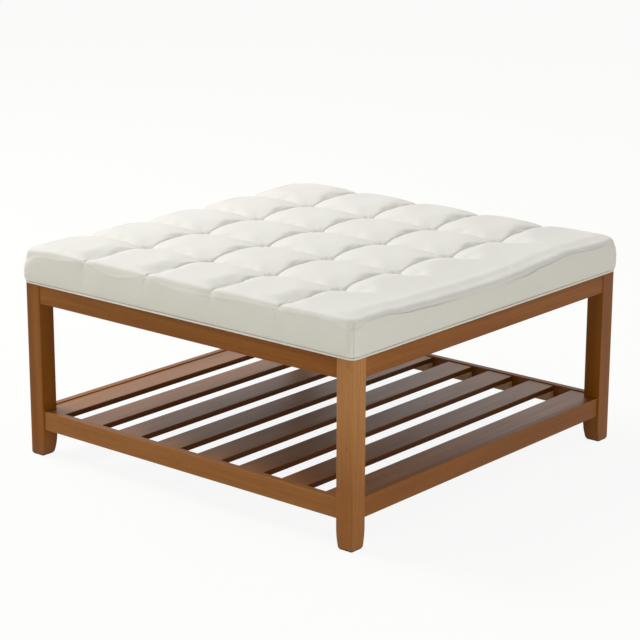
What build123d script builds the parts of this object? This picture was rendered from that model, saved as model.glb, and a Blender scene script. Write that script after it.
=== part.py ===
from build123d import *
from collections import namedtuple
import os

# Ottoman coffee table: a square tufted cushion fixed on an open hardwood frame with a slatted
# shelf. Millimetres, +Z up, origin on the floor under the middle of the table. The front is -Y,
# the right is +X, and the shelf slats run from front to back.

# Frame
frame_width = 900.0            # outer face of one leg to the outer face of the next, both ways
frame_height = 385.0           # floor to the top of the legs and aprons

# Legs and foot pads
leg_side = 40.0
leg_edge_radius = 1.5
foot_taper = 5.0               # how far each inner face of a leg comes in at the foot
foot_taper_height = 42.0       # the height over which it curves in
pad_thickness = 3.0
pad_margin = 1.5               # foot of the leg left bare round its pad

# Aprons, under the cushion
apron_height = 42.0
apron_thickness = 18.0
apron_recess = 1.7             # outer face of the leg to the outer face of the apron

# Shelf rails
shelf_rail_height = 42.0
shelf_rail_thickness = 16.0
shelf_rail_recess = 3.6
shelf_rail_bottom = 60.0       # floor to the lower edge of the rails

# Boards and their tenons
board_edge_bevel = 0.8
tenon_thickness_share = 0.45   # of the thickness of its board
tenon_height_share = 0.7       # of the height of its board
tenon_wall = 4.0               # wood left between two mortises that meet in a leg
glue_gap = 0.2

# Shelf slats and the cleats under their ends
slat_count = 8
slat_width = 65.0
slat_thickness = 12.0
slat_drop = 2.0                # top of the rails down to the top of the slats
slat_gap = 0.3                 # clearance to the rails and round the legs
cleat_height = 20.0
cleat_depth = 20.0

# Corner blocks and the bearer under the cushion board
block_length = 62.0            # along each apron, from the leg's inner face
block_end = 12.0               # thickness of the block at its blunt ends
block_height = 28.0
bearer_thickness = 22.0
bearer_height = 32.0
bearer_tenon = 9.0             # depth of its stub tenon in the apron

# Countersunk screws
screw_radius = 2.0
screw_head_radius = 4.0
screw_head_height = 2.4
screw_tip_length = 3.0
screw_gap = 0.15
screw_bite_share = 0.65        # of the thickness of the piece that the screw ends in
small_sides = 8                # flat sides that stand for the round of a screw, tie or cord

# Cushion board and cushion
deck_thickness = 12.0
cushion_overhang = 6.0         # outer face of a leg to the fullest part of the sides
cushion_rise = 83.0            # top of the frame to the crown of the tufted pillows
cushion_corner_radius = 15.0   # in plan
cushion_roll_radius = 26.0     # the top cloth rolling over to its seam on the sides
cushion_foot_bevel = 3.5       # roll of the cloth in over the piping
side_draw_in = 2.0             # how far the middle of a side pulls in between its corners
edge_drop = 4.0                # crown of the pillows down to where the roll starts
crease_depth = 13.0            # crown of the pillows down to a crease
tuft_depth = 24.0              # crown of the pillows down to the bottom of a tuft
tuft_count = 4                 # each way
tuft_pitch_share = 0.196       # of the width of the cushion
tuft_pull = 30.0               # how far along a crease a tuft pulls it down
foam_shoulder_share = 0.85     # bevel round the top of the foam, of its corner radius in plan
cloth_thickness = 1.5
hem_width = 40.0               # cloth turned under the board
soft_gap = 0.3                 # between the cover and what it lies round
piping_diameter = 4.5
tie_radius = 1.2

overrun = 5.0                  # how far a cutting solid runs past what it cuts

# Places that follow from the sizes
half_frame = frame_width / 2
leg_inner = half_frame - leg_side
Board = namedtuple("Board", "recess thickness bottom height")
apron = Board(apron_recess, apron_thickness, frame_height - apron_height, apron_height)
shelf_rail = Board(shelf_rail_recess, shelf_rail_thickness, shelf_rail_bottom, shelf_rail_height)
apron_inner = half_frame - apron_recess - apron_thickness
rail_inner = half_frame - shelf_rail_recess - shelf_rail_thickness
slat_top = shelf_rail_bottom + shelf_rail_height - slat_drop
slat_bottom = slat_top - slat_thickness
cleat_bottom = slat_bottom - cleat_height
deck_bottom = frame_height + cloth_thickness
deck_top = deck_bottom + deck_thickness
cushion_crown = frame_height + cushion_rise
cover_ceiling = cushion_crown - tuft_depth - cloth_thickness
half_cushion = half_frame + cushion_overhang
foam_corner_radius = cushion_corner_radius - cloth_thickness - soft_gap
foam_shoulder = foam_corner_radius * foam_shoulder_share
tuft_pitch = 2 * half_cushion * tuft_pitch_share


def box_between(x_range, y_range, z_range):
    """A box from its low and high place on each axis."""
    spans = [high - low for low, high in (x_range, y_range, z_range)]
    middles = [(high + low) / 2 for low, high in (x_range, y_range, z_range)]
    return Pos(*middles) * Box(*spans)


def turned(shape, quarter_turns):
    """The shape turned about the middle of the table, one quarter at a time."""
    return Rot(0, 0, 90 * quarter_turns) * shape


def all_round(shape):
    """The shape at each of the four sides or corners."""
    return [turned(shape, quarter) for quarter in range(4)]


# Legs

def leg_side_view():
    """A leg seen square on, from its outer face inwards: the inner face curves in at the foot."""
    bend = pad_thickness + foot_taper_height
    foot_inner = leg_side - foot_taper
    straight = Polyline((foot_inner, pad_thickness), (0, pad_thickness), (0, frame_height),
                        (leg_side, frame_height), (leg_side, bend))
    curve = TangentArc((leg_side, bend), (foot_inner, pad_thickness), tangent=(0, -1))
    return make_face(straight + curve)


def leg_blank():
    """The front left leg before its mortises are cut."""
    view = leg_side_view()
    from_front = extrude(Plane.XZ * view, amount=-leg_side)
    from_side = extrude(Plane.YZ * view, amount=leg_side)
    leg = from_front & from_side
    leg = fillet(leg.edges().filter_by(Axis.Z), leg_edge_radius)
    return Pos(-half_frame, -half_frame, 0) * leg


def front_left_leg():
    leg = leg_blank()
    for board in (apron, shelf_rail):
        mortises = front_tenons(board, glue_gap)
        leg = leg - mortises - turned(mortises, -1)
    return leg


def front_left_pad():
    low = -half_frame + pad_margin
    high = -leg_inner - foot_taper - pad_margin
    pad = box_between((low, high), (low, high), (0, pad_thickness))
    return chamfer(pad.edges().filter_by(Axis.Z), leg_edge_radius)


# Aprons and shelf rails: both are boards with a tenon at each end

def board_faces(board):
    """Where the front board's outer and inner faces lie along Y."""
    outer = -half_frame + board.recess
    return outer, outer + board.thickness


def front_tenons(board, gap=0.0):
    """The two tenons of the front board. With a gap, they are what cuts the mortises."""
    thickness = board.thickness * tenon_thickness_share
    height = board.height * tenon_height_share
    depth_in_leg = board.recess + (board.thickness + thickness) / 2
    tip = half_frame - depth_in_leg - 2 * glue_gap - tenon_wall
    middle_y = sum(board_faces(board)) / 2
    middle_z = board.bottom + board.height / 2
    y_range = (middle_y - thickness / 2 - gap, middle_y + thickness / 2 + gap)
    z_range = (middle_z - height / 2 - gap, middle_z + height / 2 + gap)
    right = box_between((leg_inner, tip + gap), y_range, z_range)
    left = box_between((-tip - gap, -leg_inner), y_range, z_range)
    return right + left


def front_board(board):
    z_range = (board.bottom, board.bottom + board.height)
    body = box_between((-leg_inner, leg_inner), board_faces(board), z_range)
    body = chamfer(body.edges().filter_by(Axis.X), board_edge_bevel)
    return body + front_tenons(board)


# Shelf slats, their cleats and their screws

def slat_places():
    """The middle of each slat along X: the outer two lie against the side rails."""
    last = rail_inner - slat_gap - slat_width / 2
    pitch = 2 * last / (slat_count - 1)
    return [-last + pitch * index for index in range(slat_count)]


def cleat_span(place):
    """Where the cleat under a slat starts and ends along X: it stops at the leg."""
    limit = leg_inner - slat_gap
    return max(place - slat_width / 2, -limit), min(place + slat_width / 2, limit)


def leg_notches():
    """The square of each leg with its clearance, cut out of what passes round it."""
    reach = (leg_inner - slat_gap, half_frame)
    height = (cleat_bottom - overrun, slat_top + overrun)
    return all_round(box_between(reach, reach, height))


def slat_screw_places(place):
    """One screw near each end of a slat, in the middle of its cleat."""
    middle_x = sum(cleat_span(place)) / 2
    middle_y = rail_inner - cleat_depth / 2
    return [(middle_x, -middle_y, cleat_bottom), (middle_x, middle_y, cleat_bottom)]


def slat(place):
    reach = rail_inner - slat_gap
    x_range = (place - slat_width / 2, place + slat_width / 2)
    board = box_between(x_range, (-reach, reach), (slat_bottom, slat_top))
    board = chamfer(board.edges().filter_by(Axis.Y), board_edge_bevel)
    holes = [Pos(*spot) * screw_hole(slat_screw_length) for spot in slat_screw_places(place)]
    return board - leg_notches() - holes


def front_cleat(place):
    y_range = (-rail_inner, -rail_inner + cleat_depth)
    cleat = box_between(cleat_span(place), y_range, (cleat_bottom, slat_bottom))
    front_spot = slat_screw_places(place)[0]
    return cleat - Pos(*front_spot) * screw_hole(slat_screw_length)


# Screws: each stands on its head at the origin and points up

def rod(radius, low, high):
    """A small round rod along Z."""
    return extrude(Pos(0, 0, low) * RegularPolygon(radius, small_sides), amount=high - low)


def spike(radius, low, high):
    """A small cone along Z with its point at the top."""
    return loft([Pos(0, 0, low) * RegularPolygon(radius, small_sides), Vertex(0, 0, high)])


def countersunk(head_radius, shank_radius, low, head_height):
    """The cone of a screw's head, carried on to its point inside the shank."""
    slope = head_height / (head_radius - shank_radius)
    return spike(head_radius, low, low + head_radius * slope)


def screw(length):
    head = countersunk(screw_head_radius, screw_radius, 0, screw_head_height)
    shank_end = length - screw_tip_length
    return head + rod(screw_radius, 0, shank_end) + spike(screw_radius, shank_end, length)


def screw_hole(length):
    """The hole that a screw of this length goes in, countersunk at its head."""
    head_radius = screw_head_radius + screw_gap
    shank_radius = screw_radius + screw_gap
    head = countersunk(head_radius, shank_radius, screw_gap, screw_head_height)
    return rod(head_radius, -overrun, screw_gap) + head + rod(shank_radius, 0, length + screw_gap)


slat_screw_length = cleat_height + slat_thickness * screw_bite_share
block_screw_length = block_end + apron_thickness * screw_bite_share


def deck_screw_length(carrier_height):
    """A screw that goes up through its carrier and the cloth into the board."""
    return carrier_height + cloth_thickness + deck_thickness * screw_bite_share


# Corner blocks, bearer and the screws through them

block_corner = leg_inner - slat_gap
block_blunt = leg_inner - block_length


def block_plan():
    """A block seen from above: a triangle between two aprons with blunt ends, notched at the leg."""
    near_apron = -apron_inner
    blunt_end = -apron_inner + block_end
    return Polyline((-block_corner, near_apron), (-block_blunt, near_apron),
                    (-block_blunt, blunt_end), (blunt_end, -block_blunt),
                    (near_apron, -block_blunt), (near_apron, -block_corner),
                    (-block_corner, -block_corner), (-block_corner, near_apron))


def block_screw_seats():
    """Where the two screws of the front left block stand: one into each apron."""
    along = -block_blunt - block_end
    height = frame_height - block_height / 2
    into_front = Pos(along, -apron_inner + block_end, height) * Rot(90, 0, 0)
    into_left = Pos(-apron_inner + block_end, along, height) * Rot(0, -90, 0)
    return [into_front, into_left]


def block_screw_hole():
    """The countersunk hole carried on outwards, so that the head can be driven home."""
    access = rod(screw_head_radius + screw_gap, -block_length, 0)
    return screw_hole(block_screw_length) + access


def block_deck_seat():
    """Where the screw through the block into the cushion board stands."""
    spot = -block_corner + block_end
    return Pos(spot, spot, frame_height - block_height)


def front_left_block():
    block = extrude(make_face(block_plan()), amount=block_height)
    block = Pos(0, 0, frame_height - block_height) * block
    for seat in block_screw_seats():
        block = block - seat * block_screw_hole()
    return block - block_deck_seat() * screw_hole(deck_screw_length(block_height))


def bearer_tenons(gap=0.0):
    """The stub tenons at both ends of the bearer. With a gap, they are what cuts the mortises."""
    half_thickness = bearer_thickness * tenon_thickness_share / 2 + gap
    half_height = bearer_height * tenon_height_share / 2 + gap
    middle_z = frame_height - bearer_height / 2
    tip = apron_inner + bearer_tenon + gap
    x_range = (-half_thickness, half_thickness)
    z_range = (middle_z - half_height, middle_z + half_height)
    front = box_between(x_range, (-tip, -apron_inner), z_range)
    back = box_between(x_range, (apron_inner, tip), z_range)
    return front + back


def bearer_screw_seats():
    """Two screws, a quarter of the way in from each end of the bearer."""
    return [Pos(0, side * apron_inner / 2, frame_height - bearer_height) for side in (-1, 1)]


def bearer():
    z_range = (frame_height - bearer_height, frame_height)
    x_range = (-bearer_thickness / 2, bearer_thickness / 2)
    body = box_between(x_range, (-apron_inner, apron_inner), z_range)
    body = body + bearer_tenons()
    return body - [seat * screw_hole(deck_screw_length(bearer_height))
                   for seat in bearer_screw_seats()]


def deck_screw_holes():
    """All the holes that come up through the cloth into the cushion board."""
    block_hole = block_deck_seat() * screw_hole(deck_screw_length(block_height))
    bearer_holes = [seat * screw_hole(deck_screw_length(bearer_height))
                    for seat in bearer_screw_seats()]
    return all_round(block_hole) + bearer_holes


# Cushion

def tuft_lines():
    first = -tuft_pitch * (tuft_count - 1) / 2
    return [first + tuft_pitch * index for index in range(tuft_count)]


def tuft_spots():
    return [(x, y) for x in tuft_lines() for y in tuft_lines()]


def cushion_plan(half_width, corner_radius):
    """Seen from above: four sides that pull in a little between round corners."""
    corners = [(-half_width, -half_width), (half_width, -half_width),
               (half_width, half_width), (-half_width, half_width)]
    inward = half_width - side_draw_in
    middles = [(0, -inward), (inward, 0), (0, inward), (-inward, 0)]
    sides = [ThreePointArc(corners[index], middles[index], corners[(index + 1) % 4])
             for index in range(4)]
    outline = make_face(sides)
    return fillet(outline.vertices(), corner_radius)


def seam_rebate(inset, base, seam):
    """The step under the cushion's edge that the piping lies in."""
    height = seam - base
    wide = 2 * (half_cushion + overrun)
    reach = half_frame - inset
    radius = cushion_corner_radius - cushion_overhang - inset
    middle = Pos(0, 0, base + height / 2)
    core = extrude(RectangleRounded(2 * reach, 2 * reach, radius), amount=height / 2, both=True)
    return middle * (Box(wide, wide, height) - core)


def cushion_block(inset, base, top):
    """The cushion before it is tufted. With an inset it is the foam's space inside the cloth."""
    plan = cushion_plan(half_cushion - inset, cushion_corner_radius - inset)
    block = extrude(Pos(0, 0, base) * plan, amount=top - base)
    if inset > 0:
        top_rim = block.faces().sort_by(Axis.Z)[-1].outer_wire()
        block = chamfer(top_rim.edges(), foam_shoulder)
    seam = frame_height + piping_diameter + inset
    if base < seam:
        block = block - seam_rebate(inset, base, seam)
        rim = block.faces().filter_by(Plane.XY).sort_by(Axis.Z)[1]
        block = chamfer(rim.outer_wire().edges(), cushion_foot_bevel)
    return block


def pillow_section():
    """The cushion cut straight across: a row of pillows, creased at each line of tufts."""
    side = half_cushion + overrun
    edge = (side - cushion_roll_radius, cushion_crown - edge_drop)
    stops = [(-edge[0], edge[1])]
    stops += [(line, cushion_crown - crease_depth) for line in tuft_lines()]
    stops.append(edge)
    arcs = [ThreePointArc(start, ((start[0] + end[0]) / 2, cushion_crown), end)
            for start, end in zip(stops, stops[1:])]
    roll_end = edge[1] - cushion_roll_radius
    rolls = [TangentArc(stops[0], (-side, roll_end), tangent=-(arcs[0] % 0)),
             TangentArc(edge, (side, roll_end), tangent=arcs[-1] % 1)]
    low = frame_height - overrun
    base = Polyline((side, roll_end), (side, low), (-side, low), (-side, roll_end))
    return make_face(arcs + rolls + [base])


def tuft_dimples():
    """The pit that each tuft pulls into the top, with its corners along the creases."""
    height = tuft_depth + overrun
    spread = tuft_pull / (tuft_depth - crease_depth)
    mouth = Pos(0, 0, height) * RegularPolygon(spread * height, 4)
    pit = loft([Vertex(0, 0, 0), mouth])
    return [Pos(x, y, cushion_crown - tuft_depth) * pit for x, y in tuft_spots()]


def cushion_cover():
    """The cloth with the wadding that fills its pillows, over a plain space for the foam."""
    body = cushion_block(0, frame_height, cushion_crown + overrun)
    along_y = extrude(Plane.XZ * pillow_section(), amount=half_cushion + overrun, both=True)
    body = (body & along_y & turned(along_y, 1)) - tuft_dimples()
    hem_inner = half_frame - hem_width
    hem_hole = box_between((-hem_inner, hem_inner), (-hem_inner, hem_inner),
                           (frame_height - overrun, deck_bottom + overrun))
    return body - cushion_block(cloth_thickness, deck_bottom, cover_ceiling) - hem_hole


def cushion_deck():
    reach = half_frame - cloth_thickness - soft_gap
    radius = cushion_corner_radius - cushion_overhang
    board = extrude(RectangleRounded(2 * reach, 2 * reach, radius), amount=deck_thickness)
    return Pos(0, 0, deck_bottom) * board - tie_holes() - deck_screw_holes()


def foam_pad():
    return cushion_block(cloth_thickness + soft_gap, deck_top, cover_ceiling - soft_gap) - tie_holes()


def tuft_ties():
    """The twine of each tuft, from the underside of the board up to the cover."""
    return [Pos(x, y, 0) * rod(tie_radius, deck_bottom, cover_ceiling) for x, y in tuft_spots()]


def tie_holes():
    hole = rod(tie_radius + soft_gap, frame_height, cushion_crown)
    return [Pos(x, y, 0) * hole for x, y in tuft_spots()]


def dust_cover():
    reach = half_frame - hem_width - soft_gap
    sheet = box_between((-reach, reach), (-reach, reach), (frame_height, deck_bottom))
    return sheet - deck_screw_holes()


def piping():
    """The covered cord round the cushion's lower edge, in the rebate over the frame."""
    radius = piping_diameter / 2
    reach = half_frame + soft_gap + radius
    corner = cushion_corner_radius - cushion_overhang + soft_gap + radius
    path = RectangleRounded(2 * reach, 2 * reach, corner).wire()
    path = Pos(0, 0, frame_height + radius) * path
    section = Plane(origin=path @ 0, z_dir=path % 0) * RegularPolygon(radius, small_sides)
    return sweep(section, path=path)


# The pieces by name

def frame_pieces():
    corners = ("front_left", "front_right", "back_right", "back_left")
    sides = ("front", "right", "back", "left")
    pieces = {}
    for corner, leg in zip(corners, all_round(front_left_leg())):
        pieces["leg_" + corner] = leg
    for corner, pad in zip(corners, all_round(front_left_pad())):
        pieces["foot_pad_" + corner] = pad
    for corner, block in zip(corners, all_round(front_left_block())):
        pieces["corner_block_" + corner] = block
    block_holes = [seat * screw_hole(block_screw_length) for seat in block_screw_seats()]
    apron_holes = [hole for one in block_holes for hole in all_round(one)]
    for side, board in zip(sides, all_round(front_board(apron))):
        pieces["apron_" + side] = board - apron_holes - bearer_tenons(glue_gap)
    for side, board in zip(sides, all_round(front_board(shelf_rail))):
        pieces["shelf_rail_" + side] = board
    return pieces


def shelf_pieces():
    places = slat_places()
    cleats = [front_cleat(place) for place in places]
    pieces = {"shelf_slat_" + str(index + 1): slat(place) for index, place in enumerate(places)}
    pieces["slat_cleats_front"] = Compound(children=cleats)
    pieces["slat_cleats_back"] = Compound(children=[turned(cleat, 2) for cleat in cleats])
    spots = [spot for place in places for spot in slat_screw_places(place)]
    pieces["slat_screws"] = Compound(children=[Pos(*spot) * screw(slat_screw_length)
                                               for spot in spots])
    return pieces


def cushion_pieces():
    block_screws = [turned(seat * screw(block_screw_length), quarter)
                    for seat in block_screw_seats() for quarter in range(4)]
    deck_screws = all_round(block_deck_seat() * screw(deck_screw_length(block_height)))
    deck_screws += [seat * screw(deck_screw_length(bearer_height))
                    for seat in bearer_screw_seats()]
    return {
        "cushion_bearer": bearer(),
        "corner_block_screws": Compound(children=block_screws),
        "cushion_deck": cushion_deck(),
        "deck_screws": Compound(children=deck_screws),
        "foam_pad": foam_pad(),
        "cushion_cover": cushion_cover(),
        "cushion_piping": piping(),
        "tuft_ties": Compound(children=tuft_ties()),
        "dust_cover": dust_cover(),
    }


os.makedirs("parts", exist_ok=True)
for name, shape in {**frame_pieces(), **shelf_pieces(), **cushion_pieces()}.items():
    export_step(shape, "parts/" + name + ".step")
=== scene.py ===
import math
import bmesh
import bpy
from mathutils import Matrix, Vector, noise


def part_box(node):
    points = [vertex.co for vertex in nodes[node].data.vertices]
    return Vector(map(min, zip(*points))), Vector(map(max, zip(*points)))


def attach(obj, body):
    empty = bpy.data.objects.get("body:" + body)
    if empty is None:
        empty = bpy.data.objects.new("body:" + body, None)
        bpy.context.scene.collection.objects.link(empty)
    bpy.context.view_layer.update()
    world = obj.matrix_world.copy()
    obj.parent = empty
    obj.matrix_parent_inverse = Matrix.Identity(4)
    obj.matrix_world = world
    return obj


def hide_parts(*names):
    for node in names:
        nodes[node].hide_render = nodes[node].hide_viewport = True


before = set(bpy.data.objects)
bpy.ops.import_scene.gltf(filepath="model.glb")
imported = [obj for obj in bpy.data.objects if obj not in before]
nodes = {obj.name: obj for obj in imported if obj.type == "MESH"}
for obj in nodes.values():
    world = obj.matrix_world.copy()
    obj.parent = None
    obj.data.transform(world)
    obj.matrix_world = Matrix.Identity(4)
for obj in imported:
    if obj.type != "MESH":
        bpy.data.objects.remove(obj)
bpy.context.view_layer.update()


# Legs. Solid hardwood posts, wiped with a golden brown stain and sprayed with satin lacquer. The
# stain takes darker in the open grain and rubs a little paler along the arrises. The leg at the
# front right is a fairer board, most of all high up.

def new_material(name):
    """A material with only its shader and its output."""
    material = bpy.data.materials.new(name)
    material.use_nodes = True
    return material, material.node_tree, material.node_tree.nodes["Principled BSDF"]


def new_group(name, inputs, outputs):
    """A node group from the names and kinds of its sockets, with its input and output nodes."""
    group = bpy.data.node_groups.new(name, "ShaderNodeTree")
    for socket, kind, value in inputs:
        made = group.interface.new_socket(socket, in_out="INPUT", socket_type=kind)
        if value is not None:
            made.default_value = value
    for socket, kind in outputs:
        group.interface.new_socket(socket, in_out="OUTPUT", socket_type=kind)
    return group, group.nodes.new("NodeGroupInput"), group.nodes.new("NodeGroupOutput")


def placed(tree, group):
    made = tree.nodes.new("ShaderNodeGroup")
    made.node_tree = group
    return made


def object_place(tree):
    return tree.nodes.new("ShaderNodeTexCoord").outputs["Object"]


def taken_apart(tree, vector):
    """The X, Y and Z of a vector, as three sockets."""
    made = tree.nodes.new("ShaderNodeSeparateXYZ")
    tree.links.new(vector, made.inputs[0])
    return made.outputs


def stretched(tree, vector, scale):
    made = tree.nodes.new("ShaderNodeMapping")
    made.inputs["Scale"].default_value = scale
    tree.links.new(vector, made.inputs["Vector"])
    return made.outputs["Vector"]


def add_noise(tree, vector, scale, detail, roughness=0.5, distortion=0.0):
    made = tree.nodes.new("ShaderNodeTexNoise")
    made.inputs["Scale"].default_value = scale
    made.inputs["Detail"].default_value = detail
    made.inputs["Roughness"].default_value = roughness
    made.inputs["Distortion"].default_value = distortion
    tree.links.new(vector, made.inputs["Vector"])
    return made.outputs["Fac"]


def remapped(tree, value, low, high, new_low=0.0, new_high=1.0):
    """The value, with the range from low to high spread over the new range."""
    made = tree.nodes.new("ShaderNodeMapRange")
    made.inputs["From Min"].default_value = low
    made.inputs["From Max"].default_value = high
    made.inputs["To Min"].default_value = new_low
    made.inputs["To Max"].default_value = new_high
    tree.links.new(value, made.inputs["Value"])
    return made.outputs["Result"]


def connected(tree, sockets):
    """Gives each input its value, or links it where the value is itself a socket."""
    for socket, value in sockets:
        if isinstance(value, bpy.types.NodeSocket):
            tree.links.new(value, socket)
        else:
            socket.default_value = value


def mixed(tree, factor, first, second):
    made = tree.nodes.new("ShaderNodeMix")
    made.data_type = "RGBA"
    connected(tree, zip((made.inputs[0], made.inputs[6], made.inputs[7]), (factor, first, second)))
    return made.outputs[2]


def maths(tree, operation, first, second=0.0):
    made = tree.nodes.new("ShaderNodeMath")
    made.operation = operation
    connected(tree, zip(made.inputs, (first, second)))
    return made.outputs[0]


def tinted(tree, tone, mask, strength, colour):
    """The tone, turned towards a colour where the mask is, as far as the strength says."""
    return mixed(tree, maths(tree, "MULTIPLY", mask, strength), tone, colour)


def add_relief(tree, shader, height, strength, distance, normal=None):
    """Makes the surface stand out where the height does, over its own or a given normal."""
    made = tree.nodes.new("ShaderNodeBump")
    made.inputs["Strength"].default_value = strength
    made.inputs["Distance"].default_value = distance
    tree.links.new(height, made.inputs["Height"])
    if normal is not None:
        tree.links.new(normal, made.inputs["Normal"])
    tree.links.new(made.outputs["Normal"], shader.inputs["Normal"])


def wood_figure():
    """Grain that runs along the vector's X: slow bands, fine streaks, and short dark pores."""
    group, start, end = new_group("wood figure", [("Vector", "NodeSocketVector", None)],
                                  [("Bands", "NodeSocketFloat"), ("Streaks", "NodeSocketFloat"),
                                   ("Pores", "NodeSocketFloat"), ("Height", "NodeSocketFloat")])
    along = start.outputs["Vector"]
    bands = add_noise(group, stretched(group, along, (1.1, 17, 17)), 1.0, 2.0, distortion=0.9)
    streaks = add_noise(group, stretched(group, along, (5, 240, 240)), 1.0, 4.0, roughness=0.62)
    pores = add_noise(group, stretched(group, along, (55, 1500, 1500)), 1.0, 1.0)
    group.links.new(remapped(group, bands, 0.32, 0.68), end.inputs["Bands"])
    group.links.new(remapped(group, streaks, 0.30, 0.70), end.inputs["Streaks"])
    pore_mask = remapped(group, pores, 0.60, 0.72)
    group.links.new(pore_mask, end.inputs["Pores"])
    height = maths(group, "SUBTRACT", maths(group, "MULTIPLY", streaks, 0.5), pore_mask)
    group.links.new(height, end.inputs["Height"])
    return group


def worn_edges():
    """A mask that is 1 along outer edges, from the normal that a small rounding would give."""
    group, start, end = new_group("worn edges", [("Width", "NodeSocketFloat", 0.0015)],
                                  [("Mask", "NodeSocketFloat"), ("Normal", "NodeSocketVector")])
    rounding = group.nodes.new("ShaderNodeBevel")
    rounding.samples = 6
    group.links.new(start.outputs["Width"], rounding.inputs["Radius"])
    flat = group.nodes.new("ShaderNodeNewGeometry")
    dot = group.nodes.new("ShaderNodeVectorMath")
    dot.operation = "DOT_PRODUCT"
    group.links.new(rounding.outputs["Normal"], dot.inputs[0])
    group.links.new(flat.outputs["Normal"], dot.inputs[1])
    group.links.new(remapped(group, dot.outputs["Value"], 0.995, 0.80), end.inputs["Mask"])
    group.links.new(rounding.outputs["Normal"], end.inputs["Normal"])
    return group


figure_group = wood_figure()
wear_group = worn_edges()
turn_for_grain = {"X": (0, 0, 0), "Y": (0, 0, math.radians(-90)), "Z": (0, math.radians(90), 0)}


def grain_figure(tree, grain):
    """The wood figure, turned so that the board's length lies along its grain."""
    turn = tree.nodes.new("ShaderNodeMapping")
    turn.inputs["Rotation"].default_value = turn_for_grain[grain]
    tree.links.new(object_place(tree), turn.inputs["Vector"])
    figure = placed(tree, figure_group)
    tree.links.new(turn.outputs["Vector"], figure.inputs["Vector"])
    return figure.outputs


band_dark = (0.232, 0.070, 0.003, 1)
band_pale = (0.345, 0.122, 0.009, 1)
fair_tone = (0.560, 0.260, 0.080, 1)
streak_tone, streak_strength = (0.165, 0.046, 0.004, 1), 0.38
pore_tone, pore_strength = (0.075, 0.020, 0.003, 1), 0.45
worn_tone, wear_strength = (0.480, 0.215, 0.060, 1), 0.28
# Painted shade: the deep brown that upright faces are darkened towards.
painted_shade_tone = (0.060, 0.014, 0.002, 1)
side_shine = 0.16
low_down, high_up = 0.12, 0.30            # heights between which a board may turn fairer
fairer = (0.28, 0.85)                     # how much fairer such a board is at these two heights


def stained_wood(name, grain, fairness=(0.0, 0.0), top_shine=0.18, painted_side_shade=0.0):
    """One board's wood. Where it is fairer, low down or high up, it took less of the stain; its
    upright faces may be darkened with painted shade, and its top may be rubbed to more shine."""
    material, tree, shader = new_material(name + " wood, grain along " + grain)
    figure = grain_figure(tree, grain)
    tone = mixed(tree, figure["Bands"], band_dark, band_pale)
    height = taken_apart(tree, object_place(tree))["Z"]
    tone = mixed(tree, remapped(tree, height, low_down, high_up, *fairness), tone, fair_tone)
    tone = tinted(tree, tone, figure["Streaks"], streak_strength, streak_tone)
    tone = tinted(tree, tone, figure["Pores"], pore_strength, pore_tone)
    wear = placed(tree, wear_group).outputs
    tone = tinted(tree, tone, wear["Mask"], wear_strength, worn_tone)
    facing = tree.nodes.new("ShaderNodeNewGeometry").outputs["Normal"]
    flatness = maths(tree, "ABSOLUTE", taken_apart(tree, facing)["Z"])
    # Painted shade: upright faces darkened towards a deep brown; the same amount takes shine off
    # them below.
    tone = mixed(tree, remapped(tree, flatness, 0, 1, painted_side_shade, 0), tone, painted_shade_tone)
    tree.links.new(tone, shader.inputs["Base Color"])
    tree.links.new(remapped(tree, flatness, 0, 1, side_shine * (1 - painted_side_shade), top_shine),
                   shader.inputs["Specular IOR Level"])
    gloss = remapped(tree, figure["Streaks"], 0, 1, 0.34, 0.46)
    tree.links.new(gloss, shader.inputs["Roughness"])
    shader.inputs["Coat Weight"].default_value = 0.05
    shader.inputs["Coat Roughness"].default_value = 0.3
    add_relief(tree, shader, figure["Height"], 0.16, 0.0004, normal=wear["Normal"])
    return material


def finish_node(name, material):
    """Gives a CAD node its material."""
    mesh = nodes[name].data
    mesh.materials.clear()
    mesh.materials.append(material)


stained = {grain: stained_wood("stained", grain) for grain in "XYZ"}
fair_post = stained_wood("fairer stained", "Z", fairer)
corners = ("front_left", "front_right", "back_right", "back_left")
for corner in corners:
    finish_node("leg_" + corner, fair_post if corner == "front_right" else stained["Z"])


# Aprons and shelf rails. Planed boards of the same wood, tenoned into the legs, with the grain
# along their length. The front shelf rail is another fairer board, and apart from that the front
# and back ones differ from the side ones only in direction.

fair_rail = stained_wood("fairer stained", "X", fairer)
for side, grain in zip(("front", "right", "back", "left"), "XYXY"):
    finish_node("apron_" + side, stained[grain])
    finish_node("shelf_rail_" + side, fair_rail if side == "front" else stained[grain])


# Shelf slats. Eight thin boards laid from front to back between the rails and screwed down on
# cleats, their sawn edges darkened with painted shade and their tops rubbed to a little more shine.

slat_count = 8
rubbed = stained_wood("rubbed and stained", "Y", top_shine=0.50, painted_side_shade=0.75)
for index in range(slat_count):
    finish_node("shelf_slat_" + str(index + 1), rubbed)


# Slat cleats, corner blocks and bearer. Sawn softwood, left bare, so it is pale, dry and a little
# woolly from the saw. Only the ends of the cleats show, in the gaps between the slats.

streak_shade = 0.62                       # of the dark bands' brightness


def bare_wood(name, grain, pale, dark):
    material, tree, shader = new_material(name)
    figure = grain_figure(tree, grain)
    darkest = [part * streak_shade for part in dark[:3]] + [1]
    tone = mixed(tree, figure["Bands"], pale, dark)
    tone = tinted(tree, tone, figure["Streaks"], 0.35, darkest)
    tree.links.new(tone, shader.inputs["Base Color"])
    tree.links.new(remapped(tree, figure["Streaks"], 0, 1, 0.68, 0.85), shader.inputs["Roughness"])
    add_relief(tree, shader, figure["Height"], 0.5, 0.0006)
    return material


bare = {grain: bare_wood("bare wood, grain along " + grain, grain, (0.62, 0.43, 0.24, 1),
                         (0.50, 0.32, 0.16, 1)) for grain in "XY"}
for name in ("slat_cleats_front", "slat_cleats_back"):
    finish_node(name, bare["X"])
for corner in corners:
    finish_node("corner_block_" + corner, bare["X"])
finish_node("cushion_bearer", bare["Y"])


# Foot pads. Thin squares of black rubber with a fine rough face, glued under the legs and
# scuffed grey where they rub.

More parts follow.
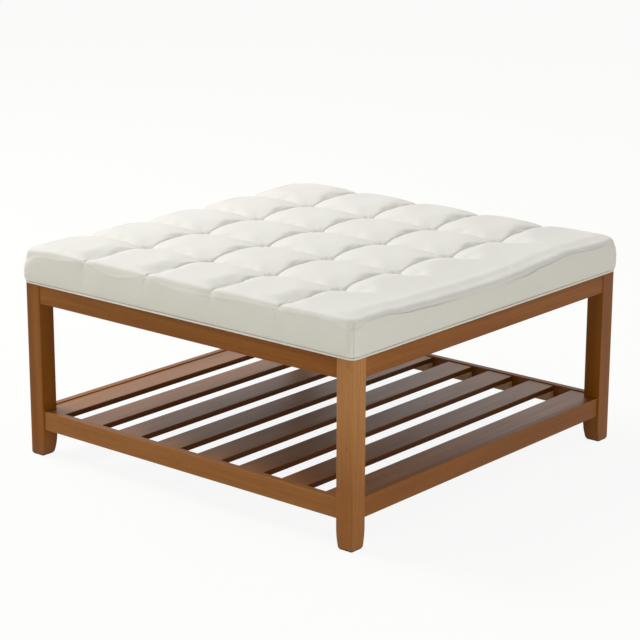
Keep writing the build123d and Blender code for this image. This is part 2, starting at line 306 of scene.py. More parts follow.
def foot_rubber():
    material, tree, shader = new_material("foot rubber")
    place = object_place(tree)
    scuffs = remapped(tree, add_noise(tree, place, 90.0, 5.0, roughness=0.7), 0.48, 0.75)
    tree.links.new(mixed(tree, scuffs, (0.012, 0.011, 0.010, 1), (0.050, 0.046, 0.040, 1)),
                   shader.inputs["Base Color"])
    tree.links.new(remapped(tree, scuffs, 0, 1, 0.55, 0.85), shader.inputs["Roughness"])
    add_relief(tree, shader, add_noise(tree, place, 1400.0, 2.0), 0.4, 0.0003)
    return material


rubber = foot_rubber()
for corner in corners:
    finish_node("foot_pad_" + corner, rubber)


# Screws. Countersunk zinc-plated steel, with the faint yellow and grey cloud of the plating. They
# hold the slats to the cleats, the corner blocks to the aprons and the cushion to the frame.

def zinc_plate():
    material, tree, shader = new_material("zinc plated steel")
    clouds = remapped(tree, add_noise(tree, object_place(tree), 260.0, 3.0), 0.35, 0.65)
    tree.links.new(mixed(tree, clouds, (0.46, 0.46, 0.44, 1), (0.66, 0.63, 0.54, 1)),
                   shader.inputs["Base Color"])
    tree.links.new(remapped(tree, clouds, 0, 1, 0.30, 0.48), shader.inputs["Roughness"])
    shader.inputs["Metallic"].default_value = 1.0
    return material


zinc = zinc_plate()
for name in ("slat_screws", "corner_block_screws", "deck_screws"):
    finish_node(name, zinc)


# Cushion board. Twelve millimetre plywood that the cushion is built on, its face grain running
# from side to side.

finish_node("cushion_deck", bare_wood("plywood", "X", (0.68, 0.50, 0.30, 1), (0.58, 0.40, 0.22, 1)))


# Foam pad. A slab of open-cell upholstery foam with a bevelled shoulder, laid on the board and
# sealed in by the cover.

def open_cell_foam():
    material, tree, shader = new_material("open cell foam")
    cells = tree.nodes.new("ShaderNodeTexVoronoi")
    cells.inputs["Scale"].default_value = 900.0
    tree.links.new(object_place(tree), cells.inputs["Vector"])
    depth = cells.outputs["Distance"]
    # Painted shade: the hollows of the cells darker than the struts between them.
    tree.links.new(mixed(tree, remapped(tree, depth, 0.0, 0.8), (0.62, 0.55, 0.40, 1),
                         (0.88, 0.83, 0.68, 1)), shader.inputs["Base Color"])
    shader.inputs["Roughness"].default_value = 0.95
    add_relief(tree, shader, depth, 0.6, 0.0005)
    return material


finish_node("foam_pad", open_cell_foam())


# Tuft ties and dust cover. Waxed twine drawn down through the foam, and a sheet of black
# non-woven cloth that keeps the dust out from below.

def fibres(name, dark, pale, scale, roughness):
    """Matted or twisted fibres: fine noise in colour and height."""
    material, tree, shader = new_material(name)
    mat = add_noise(tree, object_place(tree), scale, 6.0, roughness=0.75, distortion=0.6)
    tree.links.new(mixed(tree, remapped(tree, mat, 0.35, 0.68), dark, pale),
                   shader.inputs["Base Color"])
    shader.inputs["Roughness"].default_value = roughness
    add_relief(tree, shader, mat, 0.5, 0.0004)
    return material


finish_node("tuft_ties", fibres("waxed twine", (0.55, 0.52, 0.45, 1), (0.82, 0.79, 0.71, 1),
                                scale=700.0, roughness=0.6))
finish_node("dust_cover", fibres("black non-woven", (0.010, 0.010, 0.011, 1),
                                 (0.040, 0.040, 0.042, 1), scale=420.0, roughness=0.9))


# Cushion cover. Ivory upholstery cloth: a top panel drawn down by sixteen blind tufts, sewn by a
# plain seam to a side band in four lengths, which rolls over the piping and is stapled below.
# Wadding swells the pillows between the tufts.

def woven_cloth():
    """A plain weave on the piece's own UV map, which is laid out in metres."""
    group, start, end = new_group("plain weave", [("Vector", "NodeSocketVector", None),
                                                  ("Threads", "NodeSocketFloat", 1800.0)],
                                  [("Height", "NodeSocketFloat"), ("Tone", "NodeSocketFloat")])
    place = start.outputs["Vector"]
    wobble = add_noise(group, place, 60.0, 2.0)
    split = taken_apart(group, place)
    waves = []
    for axis in (0, 1):
        shifted = maths(group, "ADD", split[axis], maths(group, "MULTIPLY", wobble, 0.002))
        turns = maths(group, "MULTIPLY", shifted, start.outputs["Threads"])
        waves.append(maths(group, "SINE", maths(group, "MULTIPLY", turns, math.pi)))
    crossing = maths(group, "MULTIPLY", waves[0], waves[1])
    group.links.new(remapped(group, crossing, -1, 1), end.inputs["Height"])
    slubs = add_noise(group, stretched(group, place, (30, 700, 1)), 1.0, 2.0)
    group.links.new(remapped(group, slubs, 0.3, 0.7), end.inputs["Tone"])
    return group


weave_group = woven_cloth()


def cover_cloth(name, pale, dark):
    material, tree, shader = new_material(name)
    threads = tree.nodes.new("ShaderNodeUVMap")
    threads.uv_map = "cloth"
    weave = placed(tree, weave_group)
    tree.links.new(threads.outputs["UV"], weave.inputs["Vector"])
    handling = remapped(tree, add_noise(tree, object_place(tree), 7.0, 3.0), 0.35, 0.70, 0.0, 0.35)
    tone = mixed(tree, handling, pale, dark)
    tone = tinted(tree, tone, weave.outputs["Tone"], 0.22, dark)
    tree.links.new(tone, shader.inputs["Base Color"])
    shader.inputs["Roughness"].default_value = 0.82
    shader.inputs["Specular IOR Level"].default_value = 0.25
    shader.inputs["Sheen Weight"].default_value = 0.12
    shader.inputs["Sheen Roughness"].default_value = 0.5
    add_relief(tree, shader, weave.outputs["Height"], 0.35, 0.00025)
    return material


cover_low, cover_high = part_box("cushion_cover")
piping_low, piping_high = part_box("cushion_piping")
half = cover_high.x                       # fullest part of the sides
crown = cover_high.z
foot = piping_high.z                      # lower edge of the side band
tuft_pitch_share = 0.196                  # of the width of the cushion
tuft_pitch = 2 * half * tuft_pitch_share
tuft_lines = [tuft_pitch * step for step in (-1.5, -0.5, 0.5, 1.5)]
stops = [-half] + tuft_lines + [half]     # the seams and the creases, across or along
outer_cells, inner_cells = 24, 20         # of the cloth's grid, over one pillow
crowding = 0.72
touching = 1e-6                           # closer than this is in the same place


def crowded(start, end, cells, crowd):
    """Stations from start to end, closer together near both ends."""
    made = []
    for step in range(cells):
        t = step / cells
        t -= crowd * math.sin(2 * math.pi * t) / (2 * math.pi)
        made.append(start + (end - start) * t)
    return made


stations = []
for low, high in zip(stops, stops[1:]):
    at_edge = low == -half or high == half
    stations += crowded(low, high, outer_cells if at_edge else inner_cells, crowding)
stations.append(half)
cells = len(stations) - 1


def clamped(share):
    return max(0.0, min(1.0, share))


def eased(share):
    """A soft step from 0 to 1."""
    share = clamped(share)
    return share * share * (3 - 2 * share)


def fading(distance, reach, power=2):
    """1 at no distance, and little left beyond the reach."""
    return math.exp(-(distance / reach) ** power)


def to_nearest_line(place):
    return min(abs(place - line) for line in tuft_lines)


def nearest_edges(x, y):
    """The nearer of right and left and the nearer of back and front, with the distance to each."""
    across = ("right", half - x) if x > 0 else ("left", half + x)
    along = ("back", half - y) if y > 0 else ("front", half + y)
    return across, along


def nearest_side(x, y):
    """The side of the table that a point lies at, and how far along that side it is."""
    (side_x, _), (side_y, _) = nearest_edges(x, y)
    return (side_y, x) if abs(y) > abs(x) else (side_x, y)


# The creases: how deep they lie, and how much of them is left where they reach each side's seam.
crease_depth = 0.0135
tuft_depth = 0.0245
tuft_hollow = 0.013                       # radius of the flat bottom round each tuft
pull_reach = 0.024                        # how far along a crease a tuft or the seam draws it down
seam_pull = 0.65                          # how hard the seam draws a crease down, beside a tuft's 1
crease_at_seam = {"front": 0.65, "right": 0.0, "back": 1.0, "left": 1.0}
crease_fade = {"front": 0.11, "right": 0.17, "back": 0.11, "left": 0.11}
crease_fade_rate = 2.2                    # at 1 it takes that whole reach, above 1 less
pinch_depth, pinch_width = 0.004, 0.012   # where the end of a crease draws the seam in
pinch_reach = 0.030                       # how far in from the seam the pinch is felt


def crease_reach(side, gap):
    """How much of a crease is left where it nears the edge on this side."""
    return 1 - (1 - crease_at_seam[side]) * eased((1 - gap / crease_fade[side]) * crease_fade_rate)


def valley(place, first_side, last_side):
    """How deep a crease lies along its run from side to side: deepest at the tufts."""
    pull = fading(to_nearest_line(place), pull_reach)
    for gap, side in ((half + place, first_side), (half - place, last_side)):
        pull += seam_pull * crease_at_seam[side] * fading(gap, pull_reach)
    return crease_depth + (tuft_depth - crease_depth) * pull


def hollow(x, y):
    """1 on the flat bottom round a tuft and 0 outside its hollow."""
    return fading(math.hypot(to_nearest_line(x), to_nearest_line(y)), tuft_hollow, power=4)


def crease_pull(x, y):
    """How far the end of a crease draws the seam in towards the middle of the table."""
    side, along = nearest_side(x, y)
    pull = pinch_depth * crease_at_seam[side]
    return sum(pull * fading(along - line, pinch_width) for line in tuft_lines)


# The seam round the top. It hangs so many millimetres at each corner, pillow and crease of a side
# in turn, from the side's left or front end, and droops further at the corners.
seam_height = 0.4590
seam_hang = {"front": (15, 7, 1, 15, 2, 12, 9, 4, 4, 0, 3),
             "right": (3, 2, 11, 16, 20, 22, 17, 7, 1, 6, 9),
             "back": (9, 5, 10, 12, 10, 10, 10, 11, 10, 5, 9),
             "left": (15, 7, 11, 12, 12, 13, 12, 11, 11, 5, 9)}
seam_knots = sorted(stops + [(low + high) / 2 for low, high in zip(stops, stops[1:])])
corner_droop = {"front_left": 0.016, "front_right": 0.010, "back_right": 0.010, "back_left": 0.010}
droop_reach = 0.045


def seam_line(x, y):
    """Height of the seam round the edge: it dips below each pillow and sags at the corners."""
    side, along = nearest_side(x, y)
    index = max(step for step, knot in enumerate(seam_knots[:-1]) if along >= knot or step == 0)
    t = (along - seam_knots[index]) / (seam_knots[index + 1] - seam_knots[index])
    hang = seam_hang[side][index] * (1 - eased(t)) + seam_hang[side][index + 1] * eased(t)
    name = ("back_" if y > 0 else "front_") + ("right" if x > 0 else "left")
    droop = corner_droop[name] * eased(1 - (half - min(abs(x), abs(y))) / droop_reach)
    return seam_height - hang / 1000 - droop


# The edge of the top, which rolls over to the seam. On the right it is a deep roll, into which
# the top sags. The wadding may move the cloth freely only beyond the hold of the roll.
roll_reach = {"front": 0.022, "right": 0.034, "back": 0.024, "left": 0.022}
roll_fullness = 3.2                       # 2 is an ellipse, more is boxier
roll_corner = 2.6                         # the same, for two rolls that meet at a corner
roll_base = 0.437                         # where the deep roll turns upright
deep_roll_start = 0.09                    # how far from each corner it has come in fully
hold_reach = 1.4                          # in reaches of the roll
hold_rate, most_hold = 1.3, 0.8
edge_sag = {"front": 0.0, "right": 0.0, "back": 0.003, "left": 0.005}
edge_sag_reach = 0.10
sag_with_seam = 0.6                       # of the seam's hang on the right, how much the top sags
sag_with_seam_reach = 0.19
corner_round = 0.017
side_draw = 0.002                         # how far in the middle of each side lies


def round_off(share):
    """The other share of the rounding: 1 gives 0 and 0 gives 1."""
    return (1 - share ** roll_fullness) ** (1 / roll_fullness)


def deep_roll(y):
    """The deep roll on the right dies out towards both of its corners."""
    return eased((half - abs(y)) / deep_roll_start)


def set_back(x, y, height):
    """How far in the deep roll on the right has carried the cloth at this height."""
    if x < half - touching:
        return 0.0
    rise = clamped((height - roll_base) / (crown - roll_base))
    return roll_reach["right"] * (1 - round_off(rise)) * deep_roll(y)


def roll_hold(x, y):
    """How much of its first round shape the cloth keeps where it rolls over to the seam."""
    nearness = max(1 - gap / (hold_reach * roll_reach[side]) for side, gap in nearest_edges(x, y))
    return most_hold * clamped(nearness * hold_rate)


def rounded_plan(x, y, reach, radius):
    """Moves a point of the square plan on to the plan with round corners and drawn-in sides."""
    core = reach - radius
    over_x, over_y = abs(x) - core, abs(y) - core
    if over_x > 0 and over_y > 0:
        length = math.hypot(over_x, over_y)
        shrink = max(over_x, over_y) / length
        x = math.copysign(core + over_x * shrink, x)
        y = math.copysign(core + over_y * shrink, y)
    return (x * (1 - side_draw * (1 - (y / reach) ** 2) * abs(x) / reach ** 2),
            y * (1 - side_draw * (1 - (x / reach) ** 2) * abs(y) / reach ** 2))


# The pillows, before the wadding swells them.
room_to_swell = 0.011                     # how much lower a pillow's middle starts than it ends
shoulder_across, shoulder_along = 0.27, 0.44   # near 0 a pillow would have a step for a shoulder


def arch(place):
    """0 at a crease and 1 in the middle of a pillow; an outer pillow stays at 1 out to the seam."""
    low, high = next((low, high) for low, high in zip(stops, stops[1:])
                     if place <= high or high == half)
    t = (place - low) / (high - low)
    if low == -half:
        t = max(t, 0.5)
    if high == half:
        t = min(t, 0.5)
    return max(0.0, 4 * t * (1 - t))


def top_height(x, y):
    """How high the tufted top lies, before its edge is rolled over to the seam."""
    (side_x, gap_x), (side_y, gap_y) = nearest_edges(x, y)
    fall_x, fall_y = 1 - arch(x) ** shoulder_across, 1 - arch(y) ** shoulder_along
    depth_x = valley(y, "front", "back") * fall_x * crease_reach(side_y, gap_y)
    depth_y = valley(x, "left", "right") * fall_y * crease_reach(side_x, gap_x)
    depth = depth_x + depth_y - tuft_depth * fall_x * fall_y
    free_x = 1 - (1 - arch(x)) * crease_reach(side_y, gap_y)
    free_y = 1 - (1 - arch(y)) * crease_reach(side_x, gap_x)
    height = crown - depth - room_to_swell * (1 - roll_hold(x, y)) * free_x * free_y
    height += (crown - tuft_depth - height) * hollow(x, y)
    for side, gap in nearest_edges(x, y):
        height -= edge_sag[side] * eased(1 - gap / edge_sag_reach)
    if side_x == "right":
        sag = sag_with_seam * (seam_height - seam_line(half, y)) * deep_roll(y)
        height -= sag * eased(1 - gap_x / sag_with_seam_reach)
    return height


def top_spot(x, y):
    """Where a point of the flat top lies once it is tufted and rolled over to the seam."""
    (side_x, gap_x), (side_y, gap_y) = nearest_edges(x, y)
    shift = 0.0
    if side_x == "right" and gap_x < roll_reach["right"]:
        shift = set_back(half, y, seam_line(half, y)) * (1 - gap_x / roll_reach["right"])
    near_x = max(0.0, 1 - (gap_x + shift) / roll_reach[side_x]) ** roll_corner
    near_y = max(0.0, 1 - gap_y / roll_reach[side_y]) ** roll_corner
    rolled = min(1.0, (near_x + near_y) ** (1 / roll_corner))
    upright = seam_line(x, y)
    if side_x == "right" and near_x > 0:
        upright += (roll_base - upright) * near_x / (near_x + near_y) * deep_roll(y)
    pull = crease_pull(x, y) * max(0.0, 1 - min(gap_x, gap_y) / pinch_reach) ** 2
    scale = 1 - pull / half
    spot = rounded_plan(x * scale, y * scale, half * scale, corner_round)
    height = top_height(x, y)
    return spot[0] - shift, spot[1], height + (upright - height) * (1 - round_off(rolled))


# The side band from the seam down: share of the way down, and how far it stands out.
band = [(0.035, 0.0000), (0.09, 0.0002), (0.19, 0.0006), (0.33, 0.0011), (0.49, 0.0015),
        (0.65, 0.0016), (0.79, 0.0013), (0.90, 0.0008), (0.96, 0.0001), (0.99, -0.0016)]
# Below the band: round over the piping, up behind it, in to the hem, and back inside the cover
# round the board and the foam. Each is how far out and how high.
board_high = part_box("cushion_deck")[1]
foam_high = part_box("foam_pad")[1]
clear = 0.0002                            # between the cloth and the board or the foam
board_side = board_high.x + clear
foam_side, foam_top = foam_high.x + clear, foam_high.z + clear
foam_shoulder = 0.0112                    # bevel round the foam's top
over_piping = half - 0.0042               # where the band turns in
behind_piping = board_high.x + 0.0018
rebate_top = foot + 0.0001
inner_foot, foam_foot = foot + 0.0016, foot + 0.0054
hem_thickness, hem_width = 0.0012, 0.046
hem_top, hem_inner = cover_low.z + hem_thickness, half - hem_width
turned_in = [(over_piping, foot), (behind_piping, rebate_top), (behind_piping, hem_top),
             (behind_piping - hem_thickness, cover_low.z), (hem_inner, cover_low.z),
             (hem_inner, hem_top), (board_side, hem_top), (board_side, inner_foot),
             (foam_side, foam_foot), (foam_side, foam_top - foam_shoulder),
             (foam_side - foam_shoulder, foam_top)]


def edge_spot(x, y, ring):
    """Where a point of the cover's edge lies, ring by ring, from the seam down and back inside."""
    if ring < len(band):
        share, out = band[ring]
        out -= crease_pull(x, y) * (1 - share) ** 2
        scale = (half + out) / half
        spot = rounded_plan(x * scale, y * scale, half + out, corner_round)
        height = seam_line(x, y) * (1 - share) + foot * share
        return spot[0] - set_back(x, y, height), spot[1], height
    reach, height = turned_in[ring - len(band)]
    scale = reach / half
    return (*rounded_plan(x * scale, y * scale, reach, corner_round), height)


# How the cloth is held and how sharp its folds stay. The creases that run from front to back are
# sharper than the ones from left to right, and all from the hem's first fold on is sharpest.
held_group, sewn_group = 0, 1
crease_sharpness = (0.55, 0.15)
seam_sharpness, hem_sharpness = 0.6, 1.0
first_hem_ring = len(band) + 4
stitched_hold = 0.97
ring_height = 0.006                       # of the cloth between two rings, on the UV map


def cloth_grid():
    """A flat grid with the rings of its edge hung below it, each one lower by 1 than the last."""
    bm = bmesh.new()
    bmesh.ops.create_grid(bm, x_segments=cells, y_segments=cells, size=cells / 2)
    for vert in bm.verts:
        column, row = round(vert.co.x + cells / 2), round(vert.co.y + cells / 2)
        vert.co = (stations[column], stations[row], 0)
    for _ in range(len(band) + len(turned_in)):
        rim = [edge for edge in bm.edges if edge.is_boundary]
        made = bmesh.ops.extrude_edge_only(bm, edges=rim)["geom"]
        fresh = [item for item in made if isinstance(item, bmesh.types.BMVert)]
        bmesh.ops.translate(bm, verts=fresh, vec=(0, 0, -1))
    return bm


def is_at_seam(x, y):
    """Whether a point of the flat grid lies on its outer edge."""
    return max(abs(x), abs(y)) > half - touching


def lay_threads(bm):
    """The UV map of the cloth in metres: flat on the top, and round the sides below it."""
    threads = bm.loops.layers.uv.new("cloth")
    for face in bm.faces:
        middle = face.calc_center_median()
        for loop in face.loops:
            spot = loop.vert.co
            if middle.z == 0:
                loop[threads].uv = (spot.x, spot.y)
            else:
                run = spot.x if abs(middle.y) > abs(middle.x) else spot.y
                loop[threads].uv = (run, spot.z * ring_height)


def mark_sharp_edges(bm):
    """How sharp the subdivision leaves the creases, the seam and the hem."""
    sharp = bm.edges.layers.float.new("crease_edge")
    for edge in bm.edges:
        first, last = [vert.co for vert in edge.verts]
        on_top = first.z == 0 and last.z == 0
        for axis, sharpness in enumerate(crease_sharpness):
            along_line = first[axis] == last[axis] and to_nearest_line(first[axis]) < touching
            if on_top and along_line:
                edge[sharp] = sharpness
        if on_top and all(is_at_seam(spot.x, spot.y) for spot in (first, last)):
            edge[sharp] = seam_sharpness
        if max(first.z, last.z) <= -first_hem_ring:
            edge[sharp] = hem_sharpness


def stitched(x, y):
    """How firmly the stitches hold a point of the top: along the creases and round the tufts."""
    (side_x, gap_x), (side_y, gap_y) = nearest_edges(x, y)
    crease_x = crease_reach(side_y, gap_y) if to_nearest_line(x) < touching else 0
    crease_y = crease_reach(side_x, gap_x) if to_nearest_line(y) < touching else 0
    return max(stitched_hold * max(crease_x, crease_y), stitched_hold * hollow(x, y))


def shape_and_hold(bm):
    """Moves each point to its place, and writes down where the cloth is held and where sewn."""
    groups = bm.verts.layers.deform.verify()
    for vert in bm.verts:
        x, y, ring = vert.co.x, vert.co.y, round(-vert.co.z)
        at_corner = abs(abs(x) - abs(y)) < touching
        if (ring == 0 and is_at_seam(x, y)) or (at_corner and 0 < ring <= len(band)):
            vert[groups][sewn_group] = 1.0
        vert.co = edge_spot(x, y, ring - 1) if ring else top_spot(x, y)
        vert[groups][held_group] = 1.0 if ring or is_at_seam(x, y) else stitched(x, y)


def made_mesh(bm, name):
    mesh = bpy.data.meshes.new(name)
    bm.to_mesh(mesh)
    bm.free()
    return mesh


def added(name, data):
    """A new object in the scene."""
    made = bpy.data.objects.new(name, data)
    bpy.context.scene.collection.objects.link(made)
    return made


def cover_shell():
    """The cloth from the middle of the top out to the seam, down the band and round the foam."""
    bm = cloth_grid()
    lay_threads(bm)
    mark_sharp_edges(bm)
    shape_and_hold(bm)
    bmesh.ops.recalc_face_normals(bm, faces=bm.faces)
    return made_mesh(bm, "cushion_cover_cloth")


def settled(piece):
    """The piece's mesh with all its modifiers applied."""
    graph = bpy.context.evaluated_depsgraph_get()
    mesh = bpy.data.meshes.new_from_object(piece.evaluated_get(graph), depsgraph=graph)
    piece.modifiers.clear()
    piece.data = mesh
    return mesh


most_rise = 0.0108                        # how far the wadding may lift the cloth
settling_time = 20                        # in steps of the simulation


def fill_with_wadding(piece):
    """Blows the cloth up between the seams and creases that hold it, as the wadding does."""
    flat = [vert.co.copy() for vert in piece.data.vertices]
    cloth = piece.modifiers.new("Cloth", "CLOTH")
    cloth.settings.quality = 6
    cloth.settings.mass = 0.25
    cloth.settings.tension_stiffness = 18
    cloth.settings.compression_stiffness = 18
    cloth.settings.shear_stiffness = 6
    cloth.settings.bending_stiffness = 0.6
    cloth.settings.vertex_group_mass = "held"
    cloth.settings.pin_stiffness = 1.0
    cloth.settings.shrink_min = -0.012
    cloth.settings.use_pressure = True
    cloth.settings.uniform_pressure_force = 4.0
    cloth.settings.effector_weights.gravity = 0
    cloth.point_cache.frame_end = settling_time
    for step in range(settling_time):
        bpy.context.scene.frame_set(step + 1)
    mesh = settled(piece)
    for vert, start in zip(mesh.vertices, flat):
        move = (vert.co - start) * (1 - roll_hold(start.x, start.y))
        vert.co = start + move * min(1.0, most_rise / max(move.length, most_rise))
    bpy.context.scene.frame_set(1)


# The small folds. Those round a tuft or a pinch fan out in a ring, upright ones hang below a
# pinch, and all cloth below the seam's height is a little slack, with ripples at the corners.
fan_height, fan_width = 0.0005, 0.008
tuft_fan_folds, tuft_fan_radius = 9, 0.019
pinch_fan_folds, pinch_fan_radius = 8, 0.012
least_pinch = 0.3                         # where no crease reaches the seam
pinch_zone = 0.06                         # nearer to the edge than this, pinches gather the cloth
upright_height, upright_turns, upright_spread = 0.0006, 110, 0.035
upright_drop, upright_length = 0.012, 0.028
slack_height, slack_below_seam, slack_above_foot = 0.001, 0.012, 0.014
wave_share, wave_turns = 1.6, (21, 21, 9)
ripple_share, ripple_turns, ripple_wander, ripple_reach = 0.5, 460, 2.2, 0.06
wander_share, wander_turns = 2.5, 24      # how far the folds stray from an even fan


def fan_of_folds(aside, along, folds, radius, strength, wander):
    """Folds that fan out round a tuft or round the pinch at the end of a crease."""
    fan = math.cos(folds * math.atan2(along, aside) + wander)
    return fan_height * strength * fan * fading(math.hypot(aside, along) - radius, fan_width)


def pinched_folds(side, aside, gap_to_seam, wander):
    """How far the folds at the end of a crease lift the cloth: a fan, and upright folds below."""
    pinch = least_pinch + (1 - least_pinch) * crease_at_seam[side]
    lift = fan_of_folds(aside, gap_to_seam, pinch_fan_folds, pinch_fan_radius, pinch, wander)
    if gap_to_seam < 0:
        drop = fading(gap_to_seam + upright_drop, upright_length)
        upright = math.cos(aside * upright_turns) * fading(aside, upright_spread)
        lift += upright_height * pinch * drop * upright
    return lift


def slack(spot, gap_to_seam, wander):
    """How far slack lifts the cloth: in slow waves, and in ripples near the table's corners."""
    wave = noise.noise(Vector([part * turns for part, turns in zip(spot, wave_turns)]))
    ripple = math.sin(spot.z * ripple_turns + ripple_wander * wander)
    near_corner = fading(half - min(abs(spot.x), abs(spot.y)), ripple_reach)
    height = wave_share * wave + ripple_share * ripple * near_corner
    return (slack_height * height * eased(-gap_to_seam / slack_below_seam)
            * eased((spot.z - foot) / slack_above_foot))


def small_folds(spot):
    """How far the folds gathered by tufts and pinched seams lift the cloth at a spot."""
    to_x = min((spot.x - line for line in tuft_lines), key=abs)
    to_y = min((spot.y - line for line in tuft_lines), key=abs)
    gap_to_seam = spot.z - seam_line(spot.x, spot.y)
    wander = wander_share * noise.noise(spot * wander_turns)
    (side_x, gap_x), (side_y, gap_y) = nearest_edges(spot.x, spot.y)
    side, aside, gap = (side_x, to_y, gap_x) if gap_x <= gap_y else (side_y, to_x, gap_y)
    if gap > pinch_zone:
        lift = fan_of_folds(to_x, to_y, tuft_fan_folds, tuft_fan_radius, 1, wander)
    else:
        lift = pinched_folds(side, aside, gap_to_seam, wander)
    if gap_to_seam < 0:
        lift += slack(spot, gap_to_seam, wander)
    return lift


groove_depth, corner_groove_depth = 0.0008, 0.0014
groove_narrowness = 1.6                   # at 1 the groove's sides are straight
corner_zone = 0.03                        # holds the seams down the corners
plain_below = foot + 0.004                # no folds where the band turns in


def groove_and_fold(mesh):
    """Sinks the sewn seams into the cloth and lifts its small folds where the cloth shows. The
    normals are copied first, because they are worked out again after a point has moved."""
    outward = [vert.normal.copy() for vert in mesh.vertices]
    for vert, normal in zip(mesh.vertices, outward):
        spot = vert.co.copy()
        over_foam = max(abs(spot.x), abs(spot.y)) < foam_high.x
        hidden = spot.z < plain_below or over_foam and normal.z < 0
        lift = 0.0 if hidden else small_folds(spot)
        at_corner = min(abs(spot.x), abs(spot.y)) >= half - corner_zone
        depth = corner_groove_depth if at_corner else groove_depth
        sewn = sum(member.weight for member in vert.groups if member.group == sewn_group)
        vert.co = spot + normal * (lift - depth * max(0.0, sewn) ** groove_narrowness)


def close_over_foam(mesh):
    """Closes the inside of the cover with a flat lining between the foam and the tufts."""
    bm = bmesh.new()
    bm.from_mesh(mesh)
    rim = [edge for edge in bm.edges if edge.is_boundary]
    bmesh.ops.contextual_create(bm, geom=rim)
    bm.to_mesh(mesh)
    bm.free()


def smoothed(mesh):
    for face in mesh.polygons:
        face.use_smooth = True


cover = added("cushion_cover_cloth", cover_shell())
cover.vertex_groups.new(name="held")
cover.vertex_groups.new(name="sewn")
fill_with_wadding(cover)
finer = cover.modifiers.new("Subdivision", "SUBSURF")
finer.levels = finer.render_levels = 1
shell = settled(cover)
groove_and_fold(shell)
close_over_foam(shell)
smoothed(shell)
shell.materials.append(cover_cloth("ivory cover cloth", (0.800, 0.785, 0.725, 1),
                                   (0.745, 0.728, 0.660, 1)))
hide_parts("cushion_cover")
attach(cover, "root")


# Piping. A cotton cord wrapped in a bias strip of the same cloth, its colour made a little paler as
# painted light, and sewn in under the band. It sits in the step over the frame and wavers a little
# where the strip was eased round.

cord_radius = (piping_high.z - piping_low.z) / 2
cord_reach = piping_high.x - cord_radius
cord_corner = corner_round - 0.003        # it runs inside the cover's own corners
cord_length, cord_girth = 3.6, 0.014      # of the strip, on the UV map
cord_steps, cord_sides = 900, 12
waver, waver_turns = 0.0009, 14           # how far it strays from its path
tremble, tremble_turns = 0.0001, 160
leanness, lumps, lump_turns = 0.96, 0.05, 90   # its thickness in shares of its full radius


def cord_path(run):
    """A point of the cord's centre line and the way out from it, for a run from 0 to 1."""
    quarter = int(run * 4) % 4
    t = run * 4 % 1
    straight = 2 * (cord_reach - cord_corner)
    bend = cord_corner * math.pi / 2
    along = t * (straight + bend)
    if along < straight:
        spot, out = Vector((along - straight / 2, -cord_reach, 0)), Vector((0, -1, 0))
    else:
        turn = (along - straight) / cord_corner
        out = Vector((math.sin(turn), -math.cos(turn), 0))
        spot = Vector((straight / 2, -straight / 2, 0)) + out * cord_corner
    face = Matrix.Rotation(quarter * math.pi / 2, 3, "Z")
    return face @ spot, face @ out


def piping_cord():
    """A grid rolled up round the cord's path, with its two ends joined."""
    bm = bmesh.new()
    bmesh.ops.create_grid(bm, x_segments=cord_steps, y_segments=cord_sides, size=0.5)
    threads = bm.loops.layers.uv.new("cloth")
    for face in bm.faces:
        for loop in face.loops:
            run, turn = loop.vert.co.x * cord_length, loop.vert.co.y * cord_girth
            loop[threads].uv = (run + turn, turn - run)
    for vert in bm.verts:
        run, turn = vert.co.x + 0.5, (vert.co.y + 0.5) * 2 * math.pi
        spot, out = cord_path(run)
        stray = waver * noise.noise(spot * waver_turns)
        stray += tremble * noise.noise(spot * tremble_turns)
        thick = cord_radius * (leanness + lumps * noise.noise(spot * lump_turns))
        ring = out * math.cos(turn) * thick + Vector((0, 0, 1)) * math.sin(turn) * thick
        vert.co = spot + out * stray + ring + Vector((0, 0, piping_low.z + cord_radius))
    bmesh.ops.remove_doubles(bm, verts=bm.verts, dist=touching)
    bmesh.ops.recalc_face_normals(bm, faces=bm.faces)
    return made_mesh(bm, "cushion_piping_cloth")


cord = piping_cord()
smoothed(cord)
# Painted light: the same cloth as the cover, given paler colours.
cord.materials.append(cover_cloth("piping cloth, painted lighter", (0.840, 0.815, 0.745, 1),
                                  (0.770, 0.745, 0.665, 1)))
piping = added("cushion_piping_cloth", cord)
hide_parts("cushion_piping")
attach(piping, "root")


# Stage. A plain pale floor, a wide soft light from the upper left and a white surround. The
# camera and the glossy faces see the floor and the surround whiter than they light the table.

def seen(tree):
    """1 for the rays that come from the camera or from a glossy face, and 0 for the others."""
    rays = tree.nodes.new("ShaderNodeLightPath").outputs
    return maths(tree, "MAXIMUM", rays["Is Camera Ray"], rays["Is Glossy Ray"])


floor_reach = 14
seen_white = 0.91                         # how much of the floor's seen colour is plain white


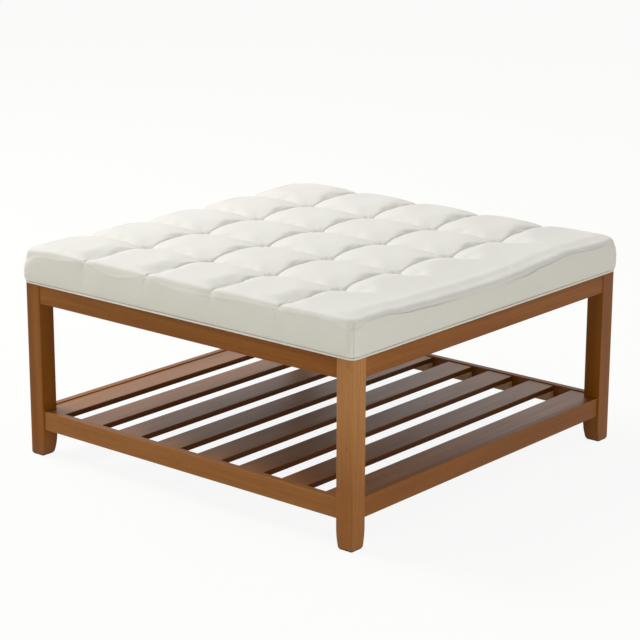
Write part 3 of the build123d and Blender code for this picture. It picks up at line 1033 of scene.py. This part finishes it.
def floor_paper():
    material, tree, shader = new_material("pale floor")
    shader.inputs["Base Color"].default_value = (0.83, 0.81, 0.72, 1)
    shader.inputs["Roughness"].default_value = 0.9
    white = tree.nodes.new("ShaderNodeEmission")
    blend = tree.nodes.new("ShaderNodeMixShader")
    tree.links.new(maths(tree, "MULTIPLY", seen(tree), seen_white), blend.inputs["Fac"])
    tree.links.new(shader.outputs["BSDF"], blend.inputs[1])
    tree.links.new(white.outputs["Emission"], blend.inputs[2])
    tree.links.new(blend.outputs["Shader"], tree.nodes["Material Output"].inputs["Surface"])
    return material


sheet = bmesh.new()
bmesh.ops.create_grid(sheet, x_segments=1, y_segments=1, size=floor_reach)
floor = added("floor", made_mesh(sheet, "floor"))
floor.data.materials.append(floor_paper())

world = bpy.data.worlds.new("white surround")
bpy.context.scene.world = world
world.use_nodes = True
sky = world.node_tree
surround = sky.nodes["Background"]
sky.links.new(remapped(sky, seen(sky), 0, 1, 0.48, 1.0), surround.inputs["Strength"])
surround.inputs["Color"].default_value = (1, 1, 1, 1)


table_top = Vector((0, 0, 0.4))


def soft_light(name, place, size, power):
    lamp = bpy.data.lights.new(name, "AREA")
    lamp.shape = "SQUARE"
    lamp.size = size
    lamp.energy = power
    lit = added(name, lamp)
    lit.location = place
    lit.rotation_euler = (table_top - Vector(place)).to_track_quat("-Z", "Y").to_euler()


soft_light("key", (-3.5, -0.8, 4.3), size=2.2, power=215.0)
soft_light("fill", (3.4, -1.0, 0.5), size=1.4, power=20.0)

# Camera. A long lens from the front right, a little above the top.
place = (2.8467, -3.3983, 1.5287)
azimuth, elevation, roll = math.radians(40.043), math.radians(15.649), math.radians(0.166)
back = Vector((math.sin(azimuth) * math.cos(elevation), -math.cos(azimuth) * math.cos(elevation),
               math.sin(elevation)))
right = Vector((math.cos(azimuth), math.sin(azimuth), 0))
up = back.cross(right)
level_right = math.cos(roll) * right + math.sin(roll) * up
level_up = -math.sin(roll) * right + math.cos(roll) * up
lens = bpy.data.cameras.new("camera")
lens.sensor_width = 36
lens.lens = 119.37
camera = added("camera", lens)
turned = Matrix((level_right, level_up, back)).transposed().to_4x4()
camera.matrix_world = Matrix.Translation(place) @ turned
bpy.context.scene.camera = camera
bpy.context.scene.view_settings.view_transform = "Standard"
